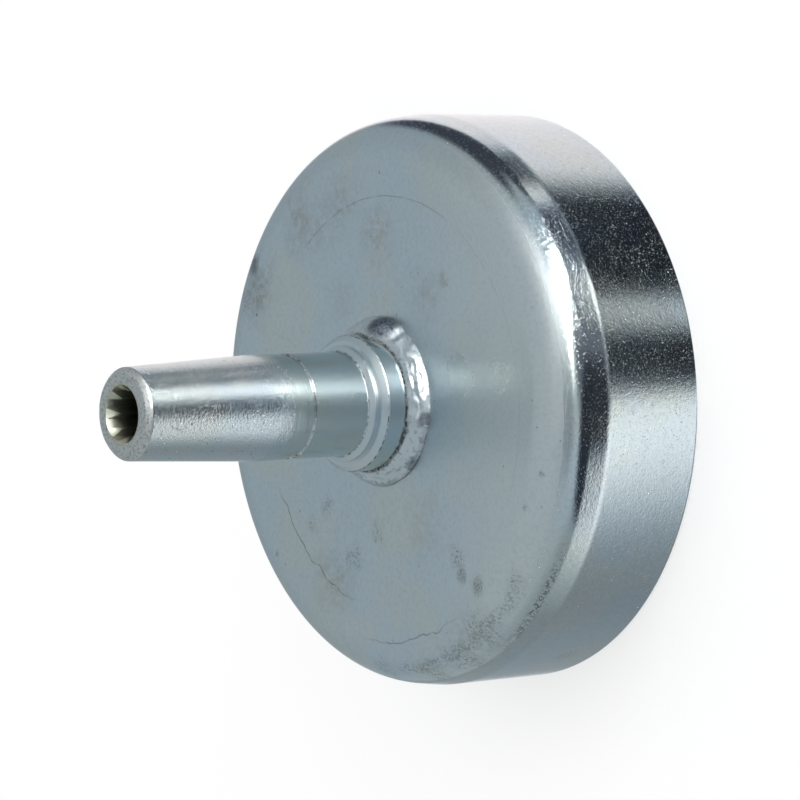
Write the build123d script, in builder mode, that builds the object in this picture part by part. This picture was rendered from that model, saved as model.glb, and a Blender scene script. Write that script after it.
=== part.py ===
from build123d import *
import os
from math import cos, hypot, pi, radians, sin

# Clutch drum of a garden machine: a cup pressed from steel sheet, a hollow shaft turned
# with a collar and broached with an internal spline, and the fillet weld between them.
# Millimetres. The drum stands on its mouth rim at Z = 0, with the shaft along +Z.

# Drum cup
drum_inside_radius = 39.0
sheet = 2.5
drum_height = 25.0
corner_radius = 6.7
crease_height = 16.5
band_draw_in = 0.15
rim_chamfer = 0.45
pad_radius = 30.0
pad_depth = 0.2
pad_centre_x = -0.4
pad_centre_y = -2.4

# Shaft, from the drum's face to the tip
spigot_radius = 6.5
spigot_clearance = 0.05
spigot_proud = 0.5
spigot_chamfer = 0.4
collar_radius = 9.8
collar_height = 6.2
collar_chamfer = 0.8
collar_chamfer_share = 0.6
shoulder_radius = 8.3
shoulder_height = 0.5
shoulder_slope_height = 0.7
seat_radius = 7.5
seat_length = 9.0
groove_width = 1.4
groove_depth = 0.25
groove_flank = 0.2
land_length = 4.8
taper_length = 21.4
tip_radius = 6.5
tip_chamfer = 0.7

# Bore and internal spline
spline_count = 9
spline_root_radius = 4.05
tooth_height = 0.85
tooth_tip_width = 0.35
tooth_base_width = 1.5
spline_length = 26.0
first_space_angle = -11.4
mouth_lead = 0.05
mouth_cone_angle = 60.0
relief_clearance = 0.35

# Fillet weld between the collar and the drum's face
weld_face_leg = 2.5
weld_collar_leg = 2.35
weld_crown = 0.3
puddle_count = 17
puddle_unevenness = 0.12
puddle_waves = 7
weld_stop_angle = -14.0
weld_stop_growth = 0.3
weld_stop_rise = 1.2

# Levels and radii that follow from the sizes above
drum_outside_radius = drum_inside_radius + sheet
inner_face = drum_height - sheet
hole_radius = spigot_radius + spigot_clearance
seat_face = drum_height - pad_depth
collar_top = seat_face + collar_height
collar_bevel = min(collar_chamfer, collar_chamfer_share * (collar_radius - shoulder_radius))
shoulder_top = collar_top + shoulder_height
seat_start = shoulder_top + shoulder_slope_height
groove_start = seat_start + seat_length
groove_end = groove_start + groove_width
taper_start = groove_end + land_length
tip = taper_start + taper_length
spigot_end = inner_face - spigot_proud
tooth_tip_radius = spline_root_radius - tooth_height
mouth_radius = spline_root_radius + mouth_lead
relief_radius = spline_root_radius + relief_clearance
spline_end = tip - spline_length
space_root_width = 2 * pi * spline_root_radius / spline_count - tooth_base_width
space_mouth_width = 2 * pi * tooth_tip_radius / spline_count - tooth_tip_width

# A weld puddle is a ball whose surface runs through both toes of the bead
toe_span = hypot(weld_face_leg, weld_collar_leg)
puddle_radius = (toe_span**2 / 4 + weld_crown**2) / (2 * weld_crown)
puddle_sink = (puddle_radius - weld_crown) / toe_span
puddle_ring = collar_radius + weld_face_leg / 2 - weld_collar_leg * puddle_sink
puddle_level = seat_face + weld_collar_leg / 2 - weld_face_leg * puddle_sink

os.makedirs("parts", exist_ok=True)

# The cup's section goes once round the axis: a flat face, a formed corner, a band that
# draws in a little above the crease, a straight wall and a bevelled rim. The press left a
# shallow round pad in the face, a little off the axis.
with BuildPart() as drum_cup:
    with BuildSketch(Plane.XZ) as cup_section:
        with BuildLine():
            Polyline(
                (hole_radius, drum_height),
                (drum_outside_radius - band_draw_in, drum_height),
                (drum_outside_radius, crease_height),
                (drum_outside_radius, 0),
                (drum_inside_radius, 0),
                (drum_inside_radius, inner_face),
                (hole_radius, inner_face),
                close=True,
            )
        make_face()
        outer_corner = cup_section.vertices().sort_by_distance((drum_outside_radius, drum_height))[0]
        fillet(outer_corner, corner_radius)
        inner_corner = cup_section.vertices().sort_by_distance((drum_inside_radius, inner_face))[0]
        fillet(inner_corner, corner_radius - sheet)
        chamfer(cup_section.vertices().group_by(Axis.Y)[0], rim_chamfer)
    revolve(axis=Axis.Z)
    with Locations((pad_centre_x, pad_centre_y, drum_height)):
        pad_align = (Align.CENTER, Align.CENTER, Align.MAX)
        Cylinder(pad_radius, pad_depth, align=pad_align, mode=Mode.SUBTRACT)
drum_cup.part.label = "drum_cup"
export_step(drum_cup.part, "parts/drum_cup.step")

# The shaft is turned from bar: a spigot in the cup's hole, a collar on its face, a bearing
# seat behind a small shoulder, a ring groove, a plain land and a taper down to the tip.
# Its bore has a relief through the spigot, a run of pointed spline teeth and a cone mouth.
with BuildPart() as splined_shaft:
    with BuildSketch(Plane.XZ) as shaft_section:
        with BuildLine():
            Polyline(
                (0, spigot_end),
                (spigot_radius - spigot_chamfer, spigot_end),
                (spigot_radius, spigot_end + spigot_chamfer),
                (spigot_radius, seat_face),
                (collar_radius, seat_face),
                (collar_radius, collar_top),
                (shoulder_radius, collar_top),
                (shoulder_radius, shoulder_top),
                (seat_radius, seat_start),
                (seat_radius, groove_start),
                (seat_radius - groove_depth, groove_start + groove_flank),
                (seat_radius - groove_depth, groove_end - groove_flank),
                (seat_radius, groove_end),
                (seat_radius, taper_start),
                (tip_radius, tip - tip_chamfer),
                (tip_radius - tip_chamfer, tip),
                (0, tip),
                close=True,
            )
        make_face()
        collar_edge = shaft_section.vertices().sort_by_distance((collar_radius, collar_top))[0]
        chamfer(collar_edge, collar_bevel)
    revolve(axis=Axis.Z)

    with BuildSketch(Plane.XY.offset(tip)):
        Circle(tooth_tip_radius)
        with PolarLocations(0, spline_count, start_angle=first_space_angle):
            Polygon(
                (0, -space_mouth_width / 2),
                (tooth_tip_radius, -space_mouth_width / 2),
                (spline_root_radius, -space_root_width / 2),
                (spline_root_radius, space_root_width / 2),
                (tooth_tip_radius, space_mouth_width / 2),
                (0, space_mouth_width / 2),
                align=None,
            )
    extrude(amount=-spline_length, mode=Mode.SUBTRACT)
    with Locations((0, 0, tip)):
        CounterSinkHole(tooth_tip_radius, mouth_radius, spline_length, mouth_cone_angle)
    with BuildSketch(Plane.XY.offset(spline_end)):
        Circle(relief_radius)
    extrude(amount=spigot_end - spline_end, mode=Mode.SUBTRACT)
splined_shaft.part.label = "splined_shaft"
export_step(splined_shaft.part, "parts/splined_shaft.step")

# The bead is a ring of overlapping puddles, uneven as a hand-held torch leaves them, with a
# larger one where the run stops. It lies against the drum's face and the collar's side.
with BuildPart() as weld_bead:
    for puddle in range(puddle_count):
        angle = 2 * pi * puddle / puddle_count
        with Locations((puddle_ring * cos(angle), puddle_ring * sin(angle), puddle_level)):
            Sphere(puddle_radius + puddle_unevenness * sin(puddle_waves * puddle))
    stop_x = puddle_ring * cos(radians(weld_stop_angle))
    stop_y = puddle_ring * sin(radians(weld_stop_angle))
    with Locations((stop_x, stop_y, puddle_level + weld_stop_rise)):
        Sphere(puddle_radius + weld_stop_growth)
    split(bisect_by=Plane.XY.offset(seat_face), keep=Keep.TOP)
    with Locations((0, 0, seat_face)):
        collar_align = (Align.CENTER, Align.CENTER, Align.MIN)
        Cylinder(collar_radius, collar_height, align=collar_align, mode=Mode.SUBTRACT)
weld_bead.part.label = "weld_bead"
export_step(weld_bead.part, "parts/weld_bead.step")
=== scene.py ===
"""Dresses a zinc-plated clutch drum and photographs it in a plain studio.

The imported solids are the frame. A pressed cup, a splined shaft and the weld between them
are built again over those solids as fine meshes, and each gets its own plated finish.
Lengths are millimetres and angles are degrees, unless a name says otherwise.
"""

import logging
from dataclasses import dataclass
from enum import Enum
from math import atan2, cos, degrees, exp, hypot, pi, radians, sin, sqrt, tan
from typing import Any, NamedTuple, Optional, Sequence, Union

import bmesh
import bpy
from mathutils import Matrix, Vector, noise


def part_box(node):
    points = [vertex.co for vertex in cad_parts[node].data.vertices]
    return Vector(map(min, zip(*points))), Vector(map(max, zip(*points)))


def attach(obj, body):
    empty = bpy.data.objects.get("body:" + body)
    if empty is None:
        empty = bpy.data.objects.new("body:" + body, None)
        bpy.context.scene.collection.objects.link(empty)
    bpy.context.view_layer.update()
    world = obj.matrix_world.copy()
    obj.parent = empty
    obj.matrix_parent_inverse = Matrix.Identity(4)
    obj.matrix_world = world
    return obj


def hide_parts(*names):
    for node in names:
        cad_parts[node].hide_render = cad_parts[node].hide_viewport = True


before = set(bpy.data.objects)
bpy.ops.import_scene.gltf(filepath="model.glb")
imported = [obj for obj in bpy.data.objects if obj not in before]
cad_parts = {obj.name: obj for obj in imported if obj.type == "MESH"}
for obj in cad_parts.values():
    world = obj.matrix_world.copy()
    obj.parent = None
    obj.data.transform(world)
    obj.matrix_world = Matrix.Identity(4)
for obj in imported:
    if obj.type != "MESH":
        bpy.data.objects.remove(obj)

LOG = logging.getLogger("clutch_drum")
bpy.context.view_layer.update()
BODY = "root"
MM = 0.001
FULL_TURN = 360.0

Colour = tuple[float, float, float, float]
Value = Union["Socket", float, Sequence[float]]


class Socket:
    """One output of a node, on which Python's operators write Math nodes."""

    def __init__(self, tree: "Tree", output: bpy.types.NodeSocket) -> None:
        """Wraps one output of a tree."""
        self.tree = tree
        self.output = output

    def __add__(self, other: Value) -> "Socket":
        """The sum of both values."""
        return self.tree.math("ADD", self, other)

    def __sub__(self, other: Value) -> "Socket":
        """This value less the other."""
        return self.tree.math("SUBTRACT", self, other)

    def __rsub__(self, other: Value) -> "Socket":
        """The other value less this one."""
        return self.tree.math("SUBTRACT", other, self)

    def __mul__(self, other: Value) -> "Socket":
        """The product of both values."""
        return self.tree.math("MULTIPLY", self, other)

    def __truediv__(self, other: Value) -> "Socket":
        """This value divided by the other."""
        return self.tree.math("DIVIDE", self, other)

    def __rtruediv__(self, other: Value) -> "Socket":
        """The other value divided by this one."""
        return self.tree.math("DIVIDE", other, self)

    def __pow__(self, other: Value) -> "Socket":
        """This value to the other's power."""
        return self.tree.math("POWER", self, other)

    def __abs__(self) -> "Socket":
        """The value without its sign."""
        return self.tree.math("ABSOLUTE", self)

    __radd__ = __add__
    __rmul__ = __mul__


class Tree:
    """Writes the nodes of one material, or of the world."""

    def __init__(self, owner: Union[bpy.types.Material, bpy.types.World]) -> None:
        """Starts with an empty tree.

        Args:
            owner: The material or world that the nodes belong to.
        """
        owner.use_nodes = True
        self.nodes = owner.node_tree.nodes
        self.links = owner.node_tree.links
        self.nodes.clear()

    def node(
        self,
        kind: str,
        settings: dict[str, Any],
        inputs: dict[Union[str, int], Value],
        output: Union[str, int, None] = 0,
    ) -> Optional[Socket]:
        """Adds one node.

        Args:
            kind: The node's type, without its common first part.
            settings: Properties that are set before the sockets. "stops" fills a ramp.
            inputs: Values or links of its sockets, by name or number.
            output: The output that is returned, or None for a node that has none.

        Returns:
            The chosen output.
        """
        made = self.nodes.new("ShaderNode" + kind)
        for name, setting in settings.items():
            if name == "stops":
                self._fill_ramp(made.color_ramp, setting)
            else:
                setattr(made, name, setting)
        for key, value in inputs.items():
            if isinstance(value, Socket):
                self.links.new(value.output, made.inputs[key])
            else:
                made.inputs[key].default_value = value
        return None if output is None else Socket(self, made.outputs[output])

    @staticmethod
    def _fill_ramp(ramp: bpy.types.ColorRamp, stops: Sequence[tuple[float, float]]) -> None:
        """Gives a ramp its grey stops.

        Args:
            ramp: The ramp of a new node.
            stops: (place from 0 to 1, level) of each stop, in order.
        """
        while len(ramp.elements) < len(stops):
            ramp.elements.new(1.0)
        for element, (place, level) in zip(ramp.elements, stops):
            element.position = place
            element.color = (level, level, level, 1.0)

    def math(self, operation: str, *values: Value) -> Socket:
        """One Math node on up to three values."""
        return self.node("Math", {"operation": operation}, dict(enumerate(values)))

    def vector(self, operation: str, *values: Value, output: int = 0) -> Socket:
        """One Vector Math node on vectors."""
        return self.node("VectorMath", {"operation": operation}, dict(enumerate(values)), output)

    def scaled(self, place: Socket, factor: float) -> Socket:
        """A place times one number."""
        return self.node("VectorMath", {"operation": "SCALE"}, {0: place, "Scale": factor})

    def most(self, first: Value, *others: Value) -> Value:
        """The largest of some values."""
        for other in others:
            first = self.math("MAXIMUM", first, other)
        return first

    def length(self, place: Socket) -> Socket:
        """A vector's length."""
        return self.vector("LENGTH", place, output=1)

    def away(self, place: Socket, mark: "Mark") -> Socket:
        """Distance from a place to the middle of a mark."""
        return self.length(self.vector("SUBTRACT", place, (mark.x, mark.y, mark.z)))

    def rays(self) -> tuple[Socket, Socket]:
        """Tells camera rays, and mirrored or refracted rays, from the others."""
        seen = self.node("LightPath", {}, {}, "Is Camera Ray")
        kinds = seen.output.node.outputs
        return seen, Socket(self, kinds["Is Glossy Ray"]) + Socket(self, kinds["Is Transmission Ray"])

    def parts(self, place: Socket) -> tuple[Socket, Socket, Socket]:
        """The three coordinates of a place."""
        split = self.node("SeparateXYZ", {}, {0: place})
        return tuple(Socket(self, split.output.node.outputs[axis]) for axis in range(3))

    def mix(self, share: Value, first: Value, second: Value) -> Socket:
        """Mixes two colours.

        Args:
            share: 0 for the first colour and 1 for the second.
            first: Colour or link.
            second: Colour or link.

        Returns:
            The mixed colour.
        """
        return self.node("Mix", {"data_type": "RGBA"}, {0: share, 6: first, 7: second}, 2)

    def smooth(self, value: Value, low: float, high: float) -> Socket:
        """A soft step from 0 at low to 1 at high, or downwards where low is the larger."""
        span = {"Value": value, "From Min": low, "From Max": high}
        return self.node("MapRange", {"interpolation_type": "SMOOTHSTEP"}, span)

    def clouds(self, place: Socket, scale: float, detail: float = 2.0, rough: float = 0.5) -> Socket:
        """Soft noise from 0 to 1.

        Args:
            place: Where the noise is read.
            scale: Lumps in each unit of place.
            detail: Finer layers on top.
            rough: Weight of the finer layers.

        Returns:
            The noise's value.
        """
        inputs = {"Vector": place, "Scale": scale, "Detail": detail, "Roughness": rough}
        return self.node("TexNoise", {}, inputs)

    def spots(self, place: Socket, scale: float, chance: float, reach: float) -> Socket:
        """Scattered round spots, one in some of the noise's cells.

        Args:
            place: Where the spots are read.
            scale: Cells in each unit of place.
            chance: Share of the cells that hold a spot.
            reach: Radius of a spot, as a share of a cell.

        Returns:
            1 in the middle of a spot and 0 outside all of them.
        """
        cell = {"Vector": place, "Scale": scale}
        far = self.node("TexVoronoi", {}, cell, "Distance")
        draw = Socket(self, far.output.node.outputs["Color"])
        pick = self.parts(draw)[0]
        return self.smooth(far, reach, reach * 0.4) * self.math("LESS_THAN", pick, chance)


class Mark(NamedTuple):
    """A stain on the plating: where it lies, how far it reaches, how dark and how solid it is."""

    x: float
    y: float
    z: float
    reach: float
    depth: float
    solid: float = 0.08


class Line(Enum):
    """What a line on the plating is made of."""

    HAIR = "a fine broken crack"
    SPECKS = "a trail of dirt specks"


class Crack(NamedTuple):
    """A line along part of a circle round the drum."""

    centre_x: float
    centre_y: float
    radius: float
    height: float
    middle: float
    half_span: float
    width: float
    wander: float
    depth: float
    kind: Line = Line.HAIR


class Coat(NamedTuple):
    """What a finish hands to its shader."""

    colour: Socket
    roughness: Socket
    relief: Socket


@dataclass(frozen=True)
class ZincFinish:
    """Blue-passivated zinc plating, as it lies on one piece."""

    name: str
    blue: Colour = (0.570, 0.655, 0.695, 1.0)
    olive: Colour = (0.600, 0.660, 0.645, 1.0)
    rosy: Colour = (0.620, 0.655, 0.660, 1.0)
    # Colour that the cup's face is blended towards as a painted sheen.
    pale: Colour = (0.700, 0.745, 0.735, 1.0)
    grime: Colour = (0.090, 0.090, 0.080, 1.0)
    rust: Colour = (0.300, 0.265, 0.205, 1.0)

    def material(self) -> bpy.types.Material:
        """Makes the finish's material.

        Returns:
            A metal whose colour, roughness and relief come from coat().
        """
        made = bpy.data.materials.new(self.name)
        tree = Tree(made)
        place = tree.scaled(tree.node("TexCoord", {}, {}, "Object"), 1 / MM)
        coat = self.coat(tree, place)
        relief = {"Strength": 1.0, "Distance": MM, "Height": coat.relief}
        metal = {
            "Base Color": coat.colour,
            "Roughness": coat.roughness,
            "Metallic": 1.0,
            "Normal": tree.node("Bump", {}, relief),
        }
        shader = tree.node("BsdfPrincipled", {}, metal)
        tree.node("OutputMaterial", {}, {"Surface": shader}, None)
        return made

    def tint(self, tree: Tree, place: Socket) -> Socket:
        """Cloudy shades of the passivation.

        Args:
            tree: Where the nodes go.
            place: Coordinates in millimetres.

        Returns:
            The plating's clean colour.
        """
        broad = tree.smooth(tree.clouds(place, 0.055, 3.0), 0.42, 0.60)
        pale = tree.smooth(tree.clouds(place, 0.11, 2.0), 0.56, 0.72)
        return tree.mix(pale * 0.55, tree.mix(broad, self.blue, self.olive), self.rosy)

    def scuffs(self, tree: Tree, place: Socket, share: float) -> Socket:
        """Tiny dulled specks and dashes in the plating.

        Args:
            tree: Where the nodes go.
            place: Coordinates in millimetres.
            share: How many of them there are, from 0 to 1.

        Returns:
            1 in a scuff and 0 on clean plating.
        """
        patchy = tree.clouds(place, 0.22, 2.0) * 0.14
        grain = tree.clouds(place, 4.6, 2.0, 0.7) + patchy
        specks = tree.smooth(grain, 0.76 - 0.12 * share, 0.86 - 0.12 * share)
        turn = {"Vector": place, "Rotation": (0.5, 0.3, 0.4)}
        turned = tree.node("VectorRotate", {"rotation_type": "EULER_XYZ"}, turn)
        dashes = tree.spots(tree.vector("MULTIPLY", turned, (1.0, 0.3, 1.0)), 1.3, 0.35 * share, 0.16)
        return tree.most(specks * 0.7, dashes)

    def coat(self, tree: Tree, place: Socket) -> Coat:
        """Works out colour, roughness and relief from coordinates in millimetres."""
        raise NotImplementedError


@dataclass(frozen=True)
class SheetFinish(ZincFinish):
    """Plating on the pressed cup: satin on its face, glossy round its corner and wall."""

    name: str = "zinc_on_sheet"
    face_level: float = 23.8
    corner_level: float = 21.3
    face_roughness: float = 0.35
    wall_roughness: float = 0.095
    # Where the face's painted sheen starts and is full along -Y, and how strong it is.
    painted_sheen_start: float = -6.0
    painted_sheen_full: float = -34.0
    painted_sheen_share: float = 0.8
    # Share of white that the rub marks paint in as a reflection, and how much they lower the roughness.
    painted_reflection_share: float = 0.22
    rub_smooths: float = 0.11
    # White of the painted reflection in the rub marks.
    bright: Colour = (0.960, 1.000, 0.990, 1.0)
    marks: tuple[Mark, ...] = (
        Mark(20.6, 30.3, 24.5, 2.8, 0.85, 0.7),
        Mark(15.5, 31.0, 24.8, 6.0, 0.35),
        Mark(-21.9, -17.6, 25.0, 3.2, 0.75),
        Mark(-24.3, -18.4, 25.0, 2.0, 0.85, 0.3),
        Mark(-25.7, -22.0, 25.0, 2.3, 0.85, 0.3),
        Mark(-24.9, -29.5, 24.6, 2.6, 0.60),
        Mark(-31.8, -21.0, 23.2, 5.0, 0.60),
        Mark(-36.0, -15.0, 22.6, 5.0, 0.60),
        Mark(-38.6, -8.5, 22.4, 4.8, 0.65),
        Mark(-38.5, 2.0, 22.6, 4.0, 0.50),
        Mark(-37.2, -18.4, 6.5, 3.0, 0.45),
        Mark(-15.4, 13.1, 24.8, 2.6, 0.50),
        Mark(-18.9, 1.0, 24.8, 2.8, 0.40),
        Mark(-23.0, 7.0, 24.8, 3.4, 0.50),
        Mark(-18.2, 17.0, 24.8, 2.4, 0.40),
        Mark(-9.9, -36.3, 24.6, 0.9, 0.80, 0.2),
        Mark(-14.4, -32.9, 25.0, 0.9, 0.80, 0.2),
        Mark(-22.8, 26.1, 25.0, 0.7, 0.60, 0.3),
    )
    tints: tuple[Mark, ...] = (
        Mark(17.0, 29.0, 24.8, 8.0, 0.80),
        Mark(27.0, 17.0, 24.8, 9.0, 0.70),
        Mark(29.0, 8.0, 24.8, 8.0, 0.55),
        Mark(24.0, -1.0, 24.8, 7.0, 0.60),
        Mark(15.0, -12.0, 24.8, 6.0, 0.55),
        Mark(15.0, 8.0, 24.8, 5.0, 0.30),
        Mark(-26.0, 12.0, 24.8, 9.0, 0.60),
        Mark(-18.0, -10.0, 24.8, 8.0, 0.40),
        Mark(17.2, -16.0, 24.8, 2.4, 0.80),
        Mark(24.3, -2.4, 24.8, 3.6, 0.60),
        Mark(-7.4, -38.5, 24.0, 1.6, 0.90),
        Mark(-34.0, -19.0, 23.0, 9.0, 0.40),
    )
    # Rub marks: smoother plating that also carries a painted reflection of the shaft's highlight.
    rubs_and_reflections: tuple[Mark, ...] = (
        Mark(4.0, -19.0, 24.85, 7.5, 0.9),
        Mark(3.6, -28.0, 24.95, 7.0, 0.8),
    )
    cracks: tuple[Crack, ...] = (
        Crack(-0.4, -2.4, 30.0, 24.97, 138.0, 22.0, 0.14, 1.1, 0.55),
        Crack(-0.4, -2.4, 30.0, 24.97, 5.0, 34.0, 0.12, 0.15, 0.35),
        Crack(-0.4, -2.4, 30.0, 24.97, -75.0, 40.0, 0.12, 0.1, 0.16),
        Crack(0.0, 0.0, 34.7, 25.0, 191.0, 15.0, 0.13, 0.9, 0.5),
        Crack(0.0, 0.0, 40.9, 20.3, 226.0, 11.0, 1.0, 0.6, 0.9, Line.SPECKS),
        Crack(0.0, 0.0, 38.6, 23.4, 206.0, 24.0, 1.5, 1.2, 0.42, Line.SPECKS),
    )

    def coat(self, tree: Tree, place: Socket) -> Coat:
        """Works out the sheet's colour, roughness and relief.

        Args:
            tree: Where the nodes go.
            place: Coordinates in millimetres.

        Returns:
            The finish of the pressed cup.
        """
        _, y, height = tree.parts(place)
        on_face = tree.smooth(height, self.corner_level, self.face_level)
        on_wall = 1.0 - on_face
        dirt = self.dirt(tree, place)
        cracks = self.crack_lines(tree, place)
        pits = tree.most(tree.spots(place, 0.24, 0.16, 0.07), tree.spots(place, 0.55, 0.16, 0.09) * 0.8)
        nicks = tree.spots(tree.vector("MULTIPLY", place, (0.35, 1.0, 1.0)), 0.7, 0.10, 0.10) * 0.6
        grime = tree.most(pits * 0.7, nicks, cracks, dirt)
        scuffs = self.scuffs(tree, place, 0.64)

        # Painted sheen: the face's colour is blended pale on its -Y side, a lighter side that stands in for
        # light mirrored there.
        painted_sheen = tree.smooth(y, self.painted_sheen_start, self.painted_sheen_full) * on_face * self.painted_sheen_share
        shade = tree.mix(painted_sheen, self.tint(tree, place), self.pale)
        mottle = tree.clouds(place, 1.6, 3.0, 0.7)
        faded = tree.mix(tree.smooth(mottle, 0.40, 0.75) * 0.12, shade, self.grime)
        # Painted reflection: the rub marks lighten the colour towards white, in place of the shaft's
        # highlight mirrored in the face; they also lower the roughness.
        rub_and_reflection = self.rub_and_reflection(tree, place)
        with_painted_reflection = tree.mix(rub_and_reflection * self.painted_reflection_share, faded, self.bright)
        stained = tree.mix(self.stain(tree, place), with_painted_reflection, self.rust)
        colour = tree.mix(grime, stained, self.grime)

        satin = tree.clouds(place, 0.35, 3.0) * 0.08
        base = on_face * (self.face_roughness - self.wall_roughness) + self.wall_roughness
        worn = grime * 0.25 + scuffs * (on_wall * 0.28 + 0.05) - rub_and_reflection * self.rub_smooths
        roughness = base + satin - 0.04 + worn

        peel = tree.clouds(place, 0.8, 1.0) * 0.006
        grain = tree.clouds(place, 2.4, 3.0, 0.7) * (on_wall * 0.016 + 0.003)
        relief = peel + grain - scuffs * (on_wall * 0.006 + 0.002)
        return Coat(colour, roughness, relief)

    def stain(self, tree: Tree, place: Socket) -> Socket:
        """Soft brown and olive stains without a hard edge.

        Args:
            tree: Where the nodes go.
            place: Coordinates in millimetres.

        Returns:
            The share of the stain's colour.
        """
        ragged = tree.clouds(place, 0.25, 3.0, 0.6)
        total: Value = 0.0
        for mark in self.tints:
            inside = tree.smooth(tree.away(place, mark) / mark.reach + ragged, 1.4, 0.4)
            total = tree.most(inside * mark.depth, total)
        return total * tree.smooth(tree.clouds(place, 0.9, 3.0, 0.7), 0.28, 0.70) * 0.75

    def rub_and_reflection(self, tree: Tree, place: Socket) -> Socket:
        """Soft places where the plating is smoother and where a painted reflection lies.

        Args:
            tree: Where the nodes go.
            place: Coordinates in millimetres.

        Returns:
            How far the plating is smoothed and painted with reflection, from 0 to about 1.
        """
        total: Value = 0.0
        for mark in self.rubs_and_reflections:
            total = tree.smooth(tree.away(place, mark), mark.reach, mark.reach * 0.1) * mark.depth + total
        return total

    def dirt(self, tree: Tree, place: Socket) -> Socket:
        """Specks of grime, gathered where the marks lie.

        Args:
            tree: Where the nodes go.
            place: Coordinates in millimetres.

        Returns:
            The share of the surface that is dirty.
        """
        ragged = tree.clouds(place, 0.5, 2.0)
        specks = tree.smooth(tree.clouds(place, 2.6, 4.0, 0.75), 0.50, 0.60)
        total: Value = 0.0
        for mark in self.marks:
            inside = tree.smooth(tree.away(place, mark) / mark.reach + ragged * 0.8, 1.25, 0.55)
            cover = specks * (mark.depth * (1.0 - mark.solid)) + mark.depth * mark.solid
            total = tree.most(inside * cover, total)
        return total

    def crack_lines(self, tree: Tree, place: Socket) -> Socket:
        """Hairlines and trails of specks along the pad's edge and the corner.

        Args:
            tree: Where the nodes go.
            place: Coordinates in millimetres.

        Returns:
            1 on a line and 0 off it.
        """
        drift = tree.clouds(place, 0.28, 2.0) - 0.5
        broken = tree.smooth(tree.clouds(place, 0.45, 1.0), 0.20, 0.50)
        specks = tree.smooth(tree.clouds(place, 2.2, 4.0, 0.75), 0.47, 0.57)
        height = tree.parts(place)[2]
        total: Value = 0.0
        for crack in self.cracks:
            centre = (crack.centre_x, crack.centre_y, 0.0)
            flat = tree.vector("MULTIPLY", tree.vector("SUBTRACT", place, centre), (1.0, 1.0, 0.0))
            across = tree.length(flat) - crack.radius + drift * (2 * crack.wander)
            above = height - crack.height
            off = (across * across + above * above) ** 0.5
            middle = radians(crack.middle)
            toward = (cos(middle), sin(middle), 0.0)
            facing = tree.vector("DOT_PRODUCT", tree.vector("NORMALIZE", flat), toward, output=1)
            edge = cos(radians(crack.half_span))
            along = tree.smooth(facing, edge - 0.03, edge + 0.03)
            line = tree.smooth(off, crack.width, crack.width * 0.25) * along * crack.depth
            total = tree.most(line * (broken if crack.kind is Line.HAIR else specks), total)
        return total


@dataclass(frozen=True)
class TurnedFinish(ZincFinish):
    """Plating on the turned shaft, with lathe lines, brown grime in its corners and painted shade deep in its
    bore.
    """

    name: str = "zinc_on_turned_shaft"
    roughness: float = 0.15
    taper_roughness: float = 0.22
    mouth_roughness: float = 0.46
    dirt: Colour = (0.060, 0.048, 0.036, 1.0)
    worn: Colour = (0.640, 0.640, 0.615, 1.0)
    bore: Colour = (0.600, 0.600, 0.500, 1.0)
    # Colour of the painted shade deep in the bore.
    painted_bore_shade: Colour = (0.110, 0.105, 0.080, 1.0)
    taper_start: float = 44.8
    shoulder: tuple[float, float] = (30.1, 32.3)
    tip: float = 68.8
    mouth_radius: float = 4.6
    grime_rings: tuple[tuple[float, float], ...] = (
        (27.25, 0.30),
        (30.2, 0.14),
        (32.15, 0.14),
        (41.3, 0.16),
        (42.5, 0.16),
    )

    def coat(self, tree: Tree, place: Socket) -> Coat:
        """Works out the shaft's colour, roughness and relief.

        Args:
            tree: Where the nodes go.
            place: Coordinates in millimetres.

        Returns:
            The finish of the turned shaft.
        """
        height = tree.parts(place)[2]
        radius = tree.length(tree.vector("MULTIPLY", place, (1.0, 1.0, 0.0)))
        on_taper = tree.smooth(height, self.taper_start - 0.6, self.taper_start + 0.6)
        specks = tree.smooth(tree.clouds(place, 1.5, 3.0, 0.6), 0.55, 0.68)

        rings: Value = 0.0
        for level, reach in self.grime_rings:
            near = tree.smooth(abs(height - level), reach, reach * 0.3)
            rings = tree.most(near, rings)
        rings = rings * tree.smooth(tree.clouds(place, 1.4, 3.0, 0.75), 0.44, 0.58)
        on_tip = tree.smooth(height, self.tip - 0.95, self.tip - 0.65)
        grit = tree.smooth(tree.clouds(place, 2.6, 4.0, 0.75), 0.50, 0.62)
        scattered = tree.spots(place, 0.55, 0.25, 0.12) * (on_taper * 0.4 + 0.3)
        grime = tree.most(rings * 0.8, on_tip * grit * 0.5, scattered, on_taper * grit * specks * 0.6)
        grime = grime * tree.smooth(radius, self.mouth_radius - 0.6, self.mouth_radius - 0.2)

        in_mouth = tree.smooth(radius, self.mouth_radius, self.mouth_radius - 0.4)
        outer = tree.mix(on_tip * 0.9, self.tint(tree, place), self.worn)
        # Painted shade: the bore's colour darkens from its mouth to 6 mm down, standing in for the shade
        # inside it.
        inner = tree.mix(tree.smooth(height, self.tip - 0.4, self.tip - 6.0), self.bore, self.painted_bore_shade)
        colour = tree.mix(grime, tree.mix(in_mouth, outer, inner), self.dirt)

        lathe = tree.clouds(tree.vector("MULTIPLY", place, (0.05, 0.05, 5.0)), 1.0, 3.0, 0.65)
        fine = tree.clouds(place, 3.0, 2.0, 0.6)
        roughness = on_taper * (self.taper_roughness - self.roughness) + self.roughness
        scuffs = self.scuffs(tree, place, 0.7) * (on_taper * 0.24 + 0.10)
        low, high = self.shoulder
        worn = tree.smooth(height, low - 0.2, low) * tree.smooth(height, high + 0.1, high - 0.1)
        roughness = roughness + (lathe - 0.5) * 0.12 + grime * 0.3 + scuffs + worn * 0.18 + on_tip * 0.2
        roughness = roughness * (1.0 - in_mouth) + in_mouth * self.mouth_roughness
        relief = lathe * (on_taper * 0.004 + 0.0015) + fine * (on_taper * 0.034 + 0.002)
        return Coat(colour, roughness, relief)


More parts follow.
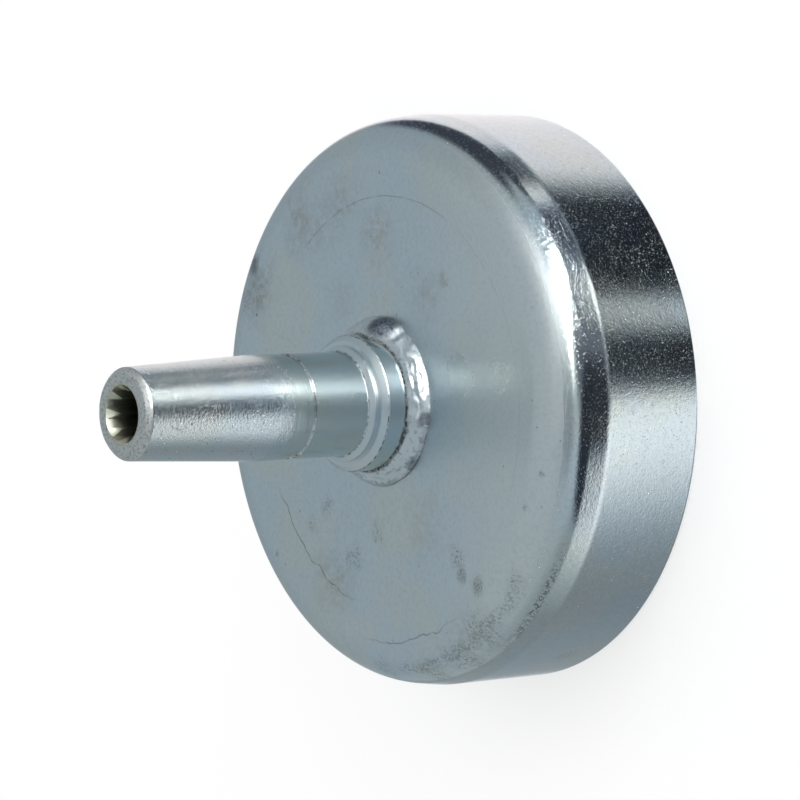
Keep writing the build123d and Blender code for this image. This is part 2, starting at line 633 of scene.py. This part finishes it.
@dataclass(frozen=True)
class WeldFinish(ZincFinish):
    """Plating over the weld: bright on its crests, dark in its seams and at its stop."""

    name: str = "zinc_on_weld"
    blue: Colour = (0.640, 0.690, 0.715, 1.0)
    burnt: Colour = (0.034, 0.048, 0.072, 1.0)
    seam: Colour = (0.085, 0.072, 0.058, 1.0)
    burns: tuple[Mark, ...] = (
        Mark(10.9, -4.2, 26.8, 3.1, 0.97),
        Mark(-2.6, -12.0, 25.4, 1.7, 0.75),
        Mark(-9.0, -8.6, 25.0, 1.8, 0.55),
    )
    toe_level: float = 25.0
    collar_radius: float = 9.8

    def coat(self, tree: Tree, place: Socket) -> Coat:
        """Works out the weld's colour, roughness and relief.

        Args:
            tree: Where the nodes go.
            place: Coordinates in millimetres.

        Returns:
            The finish of the weld.
        """
        height = tree.parts(place)[2]
        flat = tree.vector("MULTIPLY", place, (1.0, 1.0, 0.0))
        radius = tree.length(flat)
        around = tree.vector("ADD", tree.scaled(tree.vector("NORMALIZE", flat), 6.0), place)
        runs = {"Vector": around, "W": radius * 1.4, "Scale": 1.0, "Detail": 2.0}
        streaks = tree.node("TexNoise", {"noise_dimensions": "4D"}, runs)
        specks = tree.smooth(tree.clouds(place, 2.6, 3.0, 0.7), 0.42, 0.58)

        burnt: Value = 0.0
        for mark in self.burns:
            inside = tree.smooth(tree.away(place, mark), mark.reach, mark.reach * 0.45)
            burnt = tree.most(inside * mark.depth, burnt)
        dark_runs = tree.smooth(streaks, 0.54, 0.66) * 0.35
        crevice = tree.smooth(radius, self.collar_radius + 0.5, self.collar_radius + 0.12)
        toes = tree.smooth(height, self.toe_level + 0.15, self.toe_level - 0.1)
        seams = tree.most(crevice, toes * 0.7) * (specks * 0.6 + 0.4)

        shade = tree.mix(dark_runs, self.tint(tree, place), self.burnt)
        shade = tree.mix(burnt * (specks * 0.2 + 0.8), shade, self.burnt)
        colour = tree.mix(seams, shade, self.seam)
        roughness = tree.clouds(place, 1.2, 2.0) * 0.16 + 0.27 + seams * 0.2 + burnt * 0.12
        relief = streaks * 0.10 - seams * 0.04 - burnt * specks * 0.03
        return Coat(colour, roughness, relief)


class Ring(NamedTuple):
    """One circle of a turned or pressed section, with its share of the pad's offset."""

    radius: float
    height: float
    shift: float = 0.0


def spread(start: float, end: float, count: int) -> list[float]:
    """Evenly spaced numbers, both ends included."""
    return [start + (end - start) * step / (count - 1) for step in range(count)]


def rounded(corners: Sequence[tuple[float, float, float]], steps: int = 4, guard: float = 0.12) -> list[Ring]:
    """Rounds the corners of an open section and guards each run's ends.

    Args:
        corners: Radius, height and cut-back of each corner. The two end points stay sharp.
        steps: Pieces of each rounding.
        guard: Distance from a rounding to the extra ring that keeps the next run's shading even.

    Returns:
        The section's rings, in order.
    """
    points = [Vector(corner[:2]) for corner in corners]
    rings = [Ring(*points[0])]
    for before, here, after, corner in zip(points, points[1:], points[2:], corners[1:]):
        back, ahead = (before - here), (after - here)
        cut = min(corner[2], back.length * 0.45, ahead.length * 0.45)
        start = here + back.normalized() * cut
        end = here + ahead.normalized() * cut
        if back.length > cut + 3 * guard:
            rings.append(Ring(*(start + back.normalized() * guard)))
        for step in range(steps + 1):
            t = step / steps
            rings.append(Ring(*((1 - t) ** 2 * start + 2 * t * (1 - t) * here + t**2 * end)))
        if ahead.length > cut + 3 * guard:
            rings.append(Ring(*(end + ahead.normalized() * guard)))
    rings.append(Ring(*points[-1]))
    return rings


@dataclass
class RingPiece:
    """A piece whose closed section runs once round the drum's axis."""

    node: str
    slot: str
    finish: ZincFinish
    sharp_angle: float = 38.0

    def rows(self) -> list[list[Vector]]:
        """Points of each ring, in order round the section, in millimetres."""
        raise NotImplementedError

    def build(self) -> bpy.types.Object:
        """Makes the piece's mesh and ties it to the frame.

        Returns:
            The dressed piece, which stands for its solid.
        """
        rows = self.rows()
        mesh = bpy.data.meshes.new(self.node + "_dressed")
        shell = bmesh.new()
        rings = [[shell.verts.new(point * MM) for point in row] for row in rows]
        for low, high in zip(rings, rings[1:] + rings[:1]):
            for column in range(len(low)):
                following = (column + 1) % len(low)
                shell.faces.new((low[column], low[following], high[following], high[column]))
        bmesh.ops.recalc_face_normals(shell, faces=shell.faces)
        shell.to_mesh(mesh)
        shell.free()
        mesh.shade_smooth()
        mesh.set_sharp_from_angle(angle=radians(self.sharp_angle))
        piece = bpy.data.objects.new(mesh.name, mesh)
        bpy.context.scene.collection.objects.link(piece)
        self.dress(piece)
        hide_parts(self.node)
        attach(piece, BODY)
        return piece

    def dress(self, piece: bpy.types.Object) -> None:
        """Gives the piece its finish."""
        piece.data.materials.append(self.finish.material())


@dataclass
class DrumCup(RingPiece):
    """The cup: a face with a pressed pad, a formed corner, a wall and an open mouth."""

    node: str = "drum_cup"
    slot: str = "zinc_sheet"
    finish: ZincFinish = SheetFinish()
    segments: int = 320
    outside_radius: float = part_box("drum_cup")[1][0] / MM
    height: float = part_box("drum_cup")[1][2] / MM
    sheet: float = 2.5
    inner_corner_radius: float = 4.2
    corner_steps: int = 40
    crease_height: float = 16.5
    crease_round: float = 0.45
    band_lean: float = 8.0
    flat_radius: float = 34.65
    rim_bevel: float = 0.45
    rim_round: float = 0.15
    hole_radius: float = 6.55
    pad_radius: float = 30.0
    pad_depth: float = 0.2
    pad_edge_depth: float = 0.012
    pad_edge_width: float = 0.3
    dish_start: float = 13.0
    pad_centre: tuple[float, float] = (-0.4, -2.4)

    def rows(self) -> list[list[Vector]]:
        """Points of each ring of the cup.

        Returns:
            Rings over the face, round the corner, down the wall and back up the inside.
        """
        rows = []
        for ring in self.face() + self.outside() + self.inside():
            row = []
            for step in range(self.segments):
                angle = 2 * pi * step / self.segments
                x = ring.radius * cos(angle) + ring.shift * self.pad_centre[0]
                y = ring.radius * sin(angle) + ring.shift * self.pad_centre[1]
                row.append(Vector((x, y, ring.height)))
            rows.append(row)
        return rows

    def face(self) -> list[Ring]:
        """The face, from its hole over the pad's edge to the corner.

        Returns:
            Rings that move off the axis towards the pad's edge and back.
        """
        half = self.pad_edge_width / 2
        edge = self.pad_radius
        radii = spread(self.hole_radius, self.dish_start, 6)
        radii += spread(self.dish_start, edge - 3 * half, 12)[1:]
        radii += [edge - 1.5 * half, edge - half, edge, edge + half, edge + 1.5 * half]
        radii += spread(edge + 3 * half, self.flat_radius, 9)
        rings = []
        for r in radii:
            inner = (r - self.hole_radius) / (edge - self.hole_radius)
            outer = (self.flat_radius - r) / (self.flat_radius - edge)
            rings.append(Ring(r, self.face_height(r), min(inner, outer, 1.0)))
        return rings

    def face_height(self, radius: float) -> float:
        """Height of the face.

        Args:
            radius: Distance from the pad's centre.

        Returns:
            The level in the shallow dish, with a fine step at the pad's edge.
        """
        half = self.pad_edge_width / 2
        step = min(max((radius - self.pad_radius + half) / self.pad_edge_width, 0.0), 1.0)
        t = min(max((radius - self.dish_start) / (self.flat_radius - self.dish_start), 0.0), 1.0)
        rise = (self.pad_depth - self.pad_edge_depth) * t * t * (3 - 2 * t)
        return self.height - self.pad_depth + rise + self.pad_edge_depth * step

    def outside(self) -> list[Ring]:
        """The corner, the band above the crease and the wall down to the rim.

        Returns:
            Rings from the corner's first turn to the rim.
        """
        lean = radians(self.band_lean)
        reach = self.outside_radius - (self.height - self.crease_height) * tan(lean) - self.flat_radius
        bend = reach / (cos(lean) - (1 - sin(lean)) * tan(lean))
        corner = []
        for step in range(1, self.corner_steps + 1):
            turn = pi / 2 + (lean - pi / 2) * step / self.corner_steps
            corner.append(Ring(self.flat_radius + bend * cos(turn), self.height - bend + bend * sin(turn)))
        wall = [
            (corner[-1].radius, corner[-1].height, 0.0),
            (self.outside_radius, self.crease_height, self.crease_round),
            (self.outside_radius, self.rim_bevel, self.rim_round),
            (self.outside_radius - self.rim_bevel, 0.0, self.rim_round),
            (self.outside_radius - self.sheet / 2, 0.0, 0.0),
        ]
        return corner + rounded(wall)[1:]

    def inside(self) -> list[Ring]:
        """The mouth's inner edge, the drum's bore and the back of the face.

        Returns:
            Rings from the rim up to the hole's lower edge.
        """
        bore = self.outside_radius - self.sheet
        back = self.height - self.sheet
        turn_radius = self.inner_corner_radius
        edge = [
            (self.outside_radius - self.sheet / 2, 0.0, 0.0),
            (bore + self.rim_bevel, 0.0, self.rim_round),
            (bore, self.rim_bevel, self.rim_round),
            (bore, back - turn_radius, 0.0),
        ]
        rings = rounded(edge)[1:]
        for step in range(1, self.corner_steps // 2 + 1):
            turn = pi / 2 * step / (self.corner_steps // 2)
            r = bore - turn_radius + turn_radius * cos(turn)
            rings.append(Ring(r, back - turn_radius + turn_radius * sin(turn)))
        return rings + [Ring(r, back) for r in spread(bore - turn_radius, self.hole_radius, 8)[1:]]


@dataclass
class SplinedShaft(RingPiece):
    """The shaft: collar, bearing seat, ring groove, taper and a splined bore."""

    node: str = "splined_shaft"
    slot: str = "zinc_turned"
    finish: ZincFinish = TurnedFinish()
    sharp_angle: float = 33.0
    collar_radius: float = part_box("splined_shaft")[1][0] / MM
    spigot_end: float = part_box("splined_shaft")[0][2] / MM
    tip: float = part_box("splined_shaft")[1][2] / MM
    spigot_radius: float = 6.5
    spigot_chamfer: float = 0.4
    seat_face: float = 24.8
    collar_top: float = 31.0
    collar_bevel: float = 0.8
    shoulder_radius: float = 8.3
    shoulder_top: float = 31.5
    seat_start: float = 32.2
    seat_radius: float = 7.5
    groove_start: float = 41.2
    groove_end: float = 42.6
    groove_depth: float = 0.25
    groove_flank: float = 0.2
    taper_start: float = 47.4
    tip_radius: float = 6.5
    tip_chamfer: float = 0.7
    spline_count: int = 9
    spline_root_radius: float = 4.05
    tooth_tip_radius: float = 3.2
    tooth_tip_width: float = 0.35
    tooth_base_width: float = 1.5
    first_space_angle: float = -11.4
    spline_end: float = 42.8
    mouth_radius: float = 4.1
    mouth_half_angle: float = 30.0
    relief_radius: float = 4.4
    edge_round: float = 0.05

    def rows(self) -> list[list[Vector]]:
        """Points of each ring of the shaft.

        Returns:
            Rings up the outside from the spigot to the tip, then down the bore.
        """
        angles = self.angles()
        rows = [self.circle(ring.radius, ring.height, angles) for ring in self.outside()]
        slope = tan(radians(self.mouth_half_angle))
        walls = [self.bore_radius(angle) for angle in angles]
        lead = [min((self.mouth_radius - wall) / slope, self.tip) for wall in walls]
        cone = zip(walls, angles, lead)
        rows.append([self.point(wall, angle, self.tip - max(depth, 0.02)) for wall, angle, depth in cone])
        below_lead = self.tip - max(lead) - 0.1
        for level in spread(below_lead, self.spline_end, 8):
            rows.append([self.point(wall, angle, level) for wall, angle in zip(walls, angles)])
        for level in spread(self.spline_end, self.spigot_end, 4):
            rows.append(self.circle(self.relief_radius, level, angles))
        return rows

    def outside(self) -> list[Ring]:
        """The outer section, from the spigot's end to the mouth of the bore.

        Returns:
            Rings with every turned edge lightly broken.
        """
        edge = self.edge_round
        section = [
            (self.relief_radius + 0.3, self.spigot_end, 0.0),
            (self.spigot_radius - self.spigot_chamfer, self.spigot_end, 0.08),
            (self.spigot_radius, self.spigot_end + self.spigot_chamfer, 0.08),
            (self.spigot_radius, self.seat_face, 0.02),
            (self.collar_radius, self.seat_face, 0.05),
            (self.collar_radius, self.collar_top - self.collar_bevel, 0.10),
            (self.collar_radius - self.collar_bevel, self.collar_top, 0.10),
            (self.shoulder_radius, self.collar_top, 0.06),
            (self.shoulder_radius, self.shoulder_top, edge),
            (self.seat_radius, self.seat_start, edge),
            (self.seat_radius, self.groove_start, edge),
            (self.seat_radius - self.groove_depth, self.groove_start + self.groove_flank, edge),
            (self.seat_radius - self.groove_depth, self.groove_end - self.groove_flank, edge),
            (self.seat_radius, self.groove_end, edge),
            (self.seat_radius, self.taper_start, 0.5),
            (self.tip_radius, self.tip - self.tip_chamfer, 0.25),
            (self.tip_radius - self.tip_chamfer, self.tip, 0.2),
            (self.mouth_radius, self.tip, 0.0),
        ]
        return rounded(section)

    def angles(self) -> list[float]:
        """Angles of the columns, with one at each corner of every spline space.

        Returns:
            Angles round the axis, in radians, from the first space on.
        """
        root = atan2(self.root_half_width(), self.spline_root_radius)
        mouth = atan2(self.mouth_half_width(), self.tooth_tip_radius)
        side = atan2(self.mouth_half_width(), sqrt(self.tooth_tip_radius**2 - self.mouth_half_width() ** 2))
        half = pi / self.spline_count
        steps = spread(0.0, root, 5) + spread(root, mouth, 6)[1:] + [side] + spread(side, half, 4)[1:]
        one_space = [-angle for angle in reversed(steps[1:-1])] + steps
        turn = [space * 2 * half + angle for space in range(self.spline_count) for angle in one_space]
        return [radians(self.first_space_angle) + angle for angle in turn]

    def root_half_width(self) -> float:
        """Half the width of a space at its floor."""
        return pi * self.spline_root_radius / self.spline_count - self.tooth_base_width / 2

    def mouth_half_width(self) -> float:
        """Half the width of a space between the tooth tips."""
        return pi * self.tooth_tip_radius / self.spline_count - self.tooth_tip_width / 2

    def bore_radius(self, angle: float) -> float:
        """Radius of the broached bore.

        Args:
            angle: Angle round the axis, in radians.

        Returns:
            The distance from the axis to the tooth or to the floor of the space.
        """
        pitch = 2 * pi / self.spline_count
        turned = angle - radians(self.first_space_angle)
        off = abs((turned + pitch / 2) % pitch - pitch / 2)
        root, mouth = self.root_half_width(), self.mouth_half_width()
        run, rise = mouth - root, self.spline_root_radius - self.tooth_tip_radius
        floor = self.spline_root_radius / cos(off)
        flank = (run * self.spline_root_radius + rise * root) / (run * cos(off) + rise * sin(off))
        side = mouth / max(sin(off), 1e-6)
        return max(self.tooth_tip_radius, min(floor, flank, side))

    @staticmethod
    def point(radius: float, angle: float, height: float) -> Vector:
        """A point from its distance to the axis, angle in radians and height."""
        return Vector((radius * cos(angle), radius * sin(angle), height))

    def circle(self, radius: float, height: float, angles: Sequence[float]) -> list[Vector]:
        """One ring of points at the columns' angles."""
        return [self.point(radius, angle, height) for angle in angles]


@dataclass
class WeldBead(RingPiece):
    """The fillet weld: an uneven bead with a lump where the run stops."""

    node: str = "weld_bead"
    slot: str = "zinc_weld"
    finish: ZincFinish = WeldFinish()
    sharp_angle: float = 70.0
    segments: int = 600
    steps: int = 34
    collar_radius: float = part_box("splined_shaft")[1][0] / MM
    seat_face: float = 24.8
    face_leg: float = 2.45
    collar_leg: float = 2.35
    crown: float = 0.42
    sink: float = 0.25
    ripples: int = 30
    ripple_height: float = 0.025
    lump_height: float = 0.26
    stop_angle: float = -14.0
    stop_spread: float = 17.0
    stop_rise: float = 1.7
    stop_swell: float = 0.45

    def rows(self) -> list[list[Vector]]:
        """Points of each ring of the bead.

        Returns:
            Rings sunk under the face, over the bead from its outer toe, and sunk in the collar.
        """
        columns = [FULL_TURN * step / self.segments for step in range(self.segments)]
        inner, outer = self.collar_radius - self.sink, self.collar_radius
        under, face = self.seat_face - self.sink, self.seat_face
        rows = [
            [self.at(angle, inner, under) for angle in columns],
            [self.at(angle, outer + self.legs(angle)[0], under) for angle in columns],
        ]
        for step in range(self.steps + 1):
            rows.append([self.surface(angle, step / self.steps) for angle in columns])
        rows.append([self.at(angle, inner, face + self.legs(angle)[1]) for angle in columns])
        return rows

    def legs(self, angle: float) -> tuple[float, float, float]:
        """The bead's section at one angle.

        Args:
            angle: Angle round the axis.

        Returns:
            Its leg on the face, its leg on the collar and the rise of its crown.
        """
        lump = self.lump(angle)
        face_leg = self.face_leg + 0.22 * self.waver(angle, 2.2, 3.0) + 0.12 * self.waver(angle, 6.0, 5.0)
        collar_leg = self.collar_leg + 0.30 * self.waver(angle, 2.6, 11.0)
        collar_leg += 0.16 * self.waver(angle, 7.0, 13.0)
        crown = self.crown + 0.16 * self.waver(angle, 3.0, 17.0)
        return (
            face_leg + 0.35 * lump,
            collar_leg + self.stop_rise * lump,
            crown + self.stop_swell * lump,
        )

    def lump(self, angle: float) -> float:
        """How much of the stop lump there is at an angle, from 0 to 1."""
        off = (angle - self.stop_angle + FULL_TURN / 2) % FULL_TURN - FULL_TURN / 2
        return exp(-((off / self.stop_spread) ** 2))

    @staticmethod
    def waver(angle: float, lumps: float, seed: float) -> float:
        """Smooth unevenness round the bead, from about -1 to 1."""
        turn = radians(angle)
        return noise.noise(Vector((lumps * cos(turn), lumps * sin(turn), seed)))

    def surface(self, angle: float, share: float) -> Vector:
        """A point of the bead's skin.

        Args:
            angle: Angle round the axis.
            share: 0 at the outer toe and 1 at the collar.

        Returns:
            The point, in millimetres.
        """
        face_leg, collar_leg, crown = self.legs(angle)
        slant = hypot(face_leg, collar_leg)
        swell = 1 - abs(2 * share - 1) ** 2.2
        wave = sin(radians(angle) * self.ripples + 5.0 * swell + 3.0 * self.waver(angle, 4.0, 23.0))
        turn = radians(angle)
        lumps = noise.fractal(Vector((4.0 * cos(turn), 4.0 * sin(turn), 3.0 * share)), 1.0, 2.0, 2)
        streaks = noise.noise(Vector((6.0 * cos(turn), 6.0 * sin(turn), 10.0 * share)))
        rise = swell * (crown + self.ripple_height * wave + self.lump_height * lumps + 0.05 * streaks)
        radius = self.collar_radius + face_leg * (1 - share) + rise * collar_leg / slant
        return self.at(angle, radius, self.seat_face + collar_leg * share + rise * face_leg / slant)

    @staticmethod
    def at(angle: float, radius: float, height: float) -> Vector:
        """A point from its angle, distance to the axis and height."""
        return Vector((radius * cos(radians(angle)), radius * sin(radians(angle)), height))


@dataclass(frozen=True)
class Patch:
    """A round softbox or dark flag far off the object, by the direction in which it stands."""

    azimuth: float
    elevation: float
    half_width: float
    half_height: float
    level: float
    softness: float = 0.2
    tilt: float = 0.0


@dataclass(frozen=True)
class Surroundings:
    """What the plating mirrors: pale walls and ceiling, softboxes, flags and a banded table."""

    plain_level: float = 0.62
    upper_level: float = 0.53
    dark_tint: Colour = (0.85, 0.95, 1.25, 1.0)
    upper_tint: Colour = (0.83, 0.93, 1.00, 1.0)
    bright_tint: Colour = (1.00, 1.00, 1.00, 1.0)
    lilac_tint: Colour = (1.05, 0.985, 1.01, 1.0)
    table_edge: float = -29.0
    table_softness: float = 1.6
    table_rise: float = 4.6
    table_level_height: float = -40.0
    left_lean: float = 2.6
    right_lean: float = -1.7
    lean_limit: float = 7.5
    left_rise: tuple[float, float] = (-92.0, -122.0)
    right_rise: tuple[float, float] = (28.0, 44.0)
    left_bands: tuple[float, float] = (-80.0, -110.0)
    right_bands: tuple[float, float] = (-10.0, 10.0)
    far_bands: tuple[float, float] = (100.0, 70.0)
    table: tuple[tuple[float, float], ...] = (
        (-180.0, 0.32),
        (-160.0, 0.36),
        (-148.0, 0.48),
        (-136.0, 0.74),
        (-126.0, 1.05),
        (-112.0, 1.25),
        (-96.0, 1.22),
        (-92.0, 0.95),
        (-87.5, 0.10),
        (-80.0, 0.02),
        (-4.0, 0.02),
        (2.0, 0.10),
        (7.0, 0.62),
        (11.0, 0.92),
        (35.0, 0.98),
        (80.0, 1.02),
        (98.0, 0.95),
        (112.0, 0.40),
        (150.0, 0.37),
        (180.0, 0.32),
    )
    flags: tuple[Patch, ...] = (
        Patch(-160.0, -14.0, 34.0, 22.0, 0.43, 0.5),
        Patch(80.0, -4.0, 50.0, 26.0, 0.45, 0.5),
        Patch(-60.0, 14.0, 62.0, 32.0, 0.68, 0.6),
        Patch(28.0, 36.0, 26.0, 14.0, 0.42, 0.6),
        Patch(-102.0, 36.0, 20.0, 14.0, 0.34, 0.6),
        Patch(-20.0, -4.0, 22.0, 26.0, 0.56, 0.6),
        Patch(-60.0, -20.0, 34.0, 13.0, 0.22, 0.4),
        Patch(-82.0, -4.0, 19.0, 15.0, 0.20, 0.5),
        Patch(-106.0, -25.0, 31.0, 31.0, 0.04, 0.12),
        Patch(24.0, -7.0, 37.0, 14.0, 0.07, 0.20, -27.0),
        Patch(10.0, -19.0, 22.0, 13.0, 0.07, 0.25),
        Patch(-24.0, -26.0, 13.0, 6.0, 0.10, 0.5),
    )
    lights: tuple[Patch, ...] = (
        Patch(-14.0, -34.0, 34.0, 3.0, 0.32, 0.3),
        Patch(8.0, -33.5, 8.0, 3.4, 0.50, 0.4),
        Patch(-76.0, -33.5, 18.0, 3.6, 0.48, 0.3),
        Patch(-108.0, -33.5, 10.0, 4.0, 1.50, 0.4),
        Patch(-52.0, -31.7, 12.0, 5.0, 1.90, 0.3),
        Patch(-7.0, -26.5, 6.0, 2.0, 1.40, 0.4),
        Patch(-57.0, -44.5, 8.0, 4.0, 0.90, 0.45),
        Patch(-59.0, -12.5, 8.0, 4.0, 0.75, 0.5),
        Patch(-44.0, 33.0, 17.0, 12.0, 1.35, 0.8),
        Patch(-70.0, 16.5, 15.0, 4.5, 2.4, 0.4, -12.0),
        Patch(-54.0, 9.0, 13.0, 7.5, 40.0, 0.15, -33.0),
        Patch(-48.0, -1.0, 18.5, 5.6, 40.0, 0.15, -57.0),
    )

    def build(self) -> None:
        """Writes the world: white to the camera, plain to matt surfaces, this studio to plating."""
        world = bpy.data.worlds.new("studio_surroundings")
        bpy.context.scene.world = world
        world.cycles.sampling_method = "NONE"
        tree = Tree(world)
        direction = tree.node("TexCoord", {}, {}, "Generated")
        x, y, z = tree.parts(direction)
        azimuth = tree.math("ARCTAN2", y, x) * degrees(1.0)
        elevation = tree.math("ARCSINE", z) * degrees(1.0)

        level: Value = self.upper_level
        sides = tree.smooth(azimuth, *self.left_rise) + tree.smooth(azimuth, *self.right_rise)
        below = elevation - sides * self.table_rise
        high, low = self.table_edge + self.table_softness, self.table_edge - self.table_softness
        on_table = tree.smooth(below, high, low)
        table = self.table_level(tree, azimuth, elevation)
        for patch in self.flags:
            level = self.blend(level, patch.level, self.inside(tree, azimuth, elevation, patch))
        level = self.blend(level, table, on_table)
        for patch in self.lights:
            level = self.blend(level, patch.level, self.inside(tree, azimuth, elevation, patch))

        cool = tree.mix(tree.smooth(level, 0.05, 0.40), self.dark_tint, self.upper_tint)
        warm = tree.mix(tree.smooth(azimuth, -2.0, 14.0), self.bright_tint, self.lilac_tint)
        tint = tree.mix(tree.smooth(level, 0.55, 0.95), cool, warm)
        seen = tree.node("Background", {}, {"Color": tint, "Strength": level})
        white = tree.node("Background", {}, {"Color": self.bright_tint, "Strength": 1.0})
        plain = tree.node("Background", {}, {"Color": self.bright_tint, "Strength": self.plain_level})
        camera, mirrored = tree.rays()
        lit = tree.node("MixShader", {}, {0: mirrored, 1: plain, 2: seen})
        shown = tree.node("MixShader", {}, {0: camera, 1: lit, 2: white})
        tree.node("OutputWorld", {}, {"Surface": shown}, None)

    @staticmethod
    def blend(below: Value, above: Value, share: Socket) -> Socket:
        """One level laid over another by a share."""
        return below * (1.0 - share) + above * share

    @staticmethod
    def inside(tree: Tree, azimuth: Socket, elevation: Socket, patch: Patch) -> Socket:
        """How far a direction lies inside a patch.

        Args:
            tree: Where the nodes go.
            azimuth: Direction's azimuth.
            elevation: Direction's elevation.
            patch: The softbox or flag.

        Returns:
            1 inside and 0 outside, soft at the edge.
        """
        across = tree.math("WRAP", azimuth - patch.azimuth, 180.0, -180.0)
        up = elevation - patch.elevation
        turn = radians(patch.tilt)
        along = across * (cos(turn) / patch.half_width) + up * (sin(turn) / patch.half_width)
        aside = up * (cos(turn) / patch.half_height) - across * (sin(turn) / patch.half_height)
        away = (along * along + aside * aside) ** 0.5
        return tree.smooth(away, 1 + patch.softness, 1 - patch.softness)

    def table_level(self, tree: Tree, azimuth: Socket, elevation: Socket) -> Socket:
        """Brightness of the banded table under the horizon.

        Args:
            tree: Where the nodes go.
            azimuth: Direction's azimuth.
            elevation: Direction's elevation, because the bands on both sides lean outwards.

        Returns:
            The table's level.
        """
        stops = [((place + FULL_TURN / 2) / FULL_TURN, level) for place, level in self.table]
        raised = tree.math("MINIMUM", elevation - self.table_level_height, self.lean_limit)
        left = tree.smooth(azimuth, *self.left_bands) * self.left_lean
        right = tree.smooth(azimuth, *self.right_bands) * tree.smooth(azimuth, *self.far_bands)
        right = right * self.right_lean
        leaned = azimuth + raised * (left + right)
        return tree.node("ValToRGB", {"stops": stops}, {0: leaned / FULL_TURN + 0.5})


@dataclass(frozen=True)
class Floor:
    """A pale floor that stays white to the camera and keeps a soft shadow."""

    half_side: float = 1600.0
    shade: Colour = (0.86, 0.86, 0.86, 1.0)
    glow_share: float = 0.62
    glow: float = 1.06

    def build(self) -> bpy.types.Object:
        """Lays the floor under the drum's rim.

        Returns:
            The floor.
        """
        mesh = bpy.data.meshes.new("studio_floor")
        side = self.half_side * MM
        corners = [(-side, -side, 0), (side, -side, 0), (side, side, 0), (-side, side, 0)]
        mesh.from_pydata(corners, [], [(0, 1, 2, 3)])
        floor = bpy.data.objects.new(mesh.name, mesh)
        floor.location.z = -0.02 * MM
        floor.visible_glossy = False
        bpy.context.scene.collection.objects.link(floor)
        material = bpy.data.materials.new("pale_floor")
        tree = Tree(material)
        camera, mirrored = tree.rays()
        seen = camera + mirrored
        matt = tree.node("BsdfDiffuse", {}, {"Color": self.shade})
        glow = tree.node("Emission", {}, {"Color": (1.0, 1.0, 1.0, 1.0), "Strength": self.glow})
        mixed = tree.node("MixShader", {}, {0: seen * self.glow_share, 1: matt, 2: glow})
        tree.node("OutputMaterial", {}, {"Surface": mixed}, None)
        mesh.materials.append(material)
        return floor


@dataclass(frozen=True)
class Lamp:
    """A large soft lamp above the floor."""

    name: str
    place: tuple[float, float, float]
    side: float
    watts: float

    def build(self) -> bpy.types.Object:
        """Hangs the lamp and points it at the drum.

        Returns:
            The lamp, which plating doesn't mirror.
        """
        light = bpy.data.lights.new(self.name, "AREA")
        light.shape = "SQUARE"
        light.size = self.side * MM
        light.energy = self.watts
        lamp = bpy.data.objects.new(self.name, light)
        lamp.location = Vector(self.place) * MM
        lamp.rotation_euler = (-lamp.location).to_track_quat("-Z", "Y").to_euler()
        lamp.visible_glossy = False
        bpy.context.scene.collection.objects.link(lamp)
        return lamp


@dataclass(frozen=True)
class ProductCamera:
    """A long lens from the drum's side, turned so that the shaft points left."""

    azimuth: float = 1.665
    elevation: float = 37.264
    roll: float = -92.742
    distance: float = 548.0
    target: tuple[float, float, float] = (-0.14, 9.95, 13.28)
    lens: float = 166.32
    sensor: float = 36.0

    def build(self) -> bpy.types.Object:
        """Makes the scene's camera.

        Returns:
            The camera.
        """
        turn, lift, roll = radians(self.azimuth), radians(self.elevation), radians(self.roll)
        toward_eye = Vector((sin(turn) * cos(lift), -cos(turn) * cos(lift), sin(lift)))
        level_right = Vector((cos(turn), sin(turn), 0.0))
        level_up = toward_eye.cross(level_right)
        right = level_right * cos(roll) + level_up * sin(roll)
        up = toward_eye.cross(right)
        data = bpy.data.cameras.new("product_camera")
        data.lens = self.lens
        data.sensor_width = self.sensor
        data.clip_start = 0.01
        camera = bpy.data.objects.new(data.name, data)
        eye = (Vector(self.target) + toward_eye * self.distance) * MM
        camera.matrix_world = Matrix.Translation(eye) @ Matrix((right, up, toward_eye)).transposed().to_4x4()
        bpy.context.scene.collection.objects.link(camera)
        bpy.context.scene.camera = camera
        return camera


def main() -> None:
    """Builds the pieces and the studio in order, and reports each piece."""
    logging.basicConfig(level=logging.INFO, format="%(name)s: %(message)s")
    for maker in (DrumCup(), SplinedShaft(), WeldBead()):
        piece = maker.build()
        LOG.info("%s: %d faces", piece.name, len(piece.data.polygons))
    Surroundings().build()
    Floor().build()
    for lamp in (
        Lamp("ceiling_lamp", (300.0, 200.0, 1300.0), 1400.0, 9.0),
        Lamp("side_lamp", (900.0, -700.0, 700.0), 900.0, 4.0),
    ):
        lamp.build()
    ProductCamera().build()
    bpy.context.scene.view_settings.view_transform = "Standard"


if __name__ == "__main__":
    main()
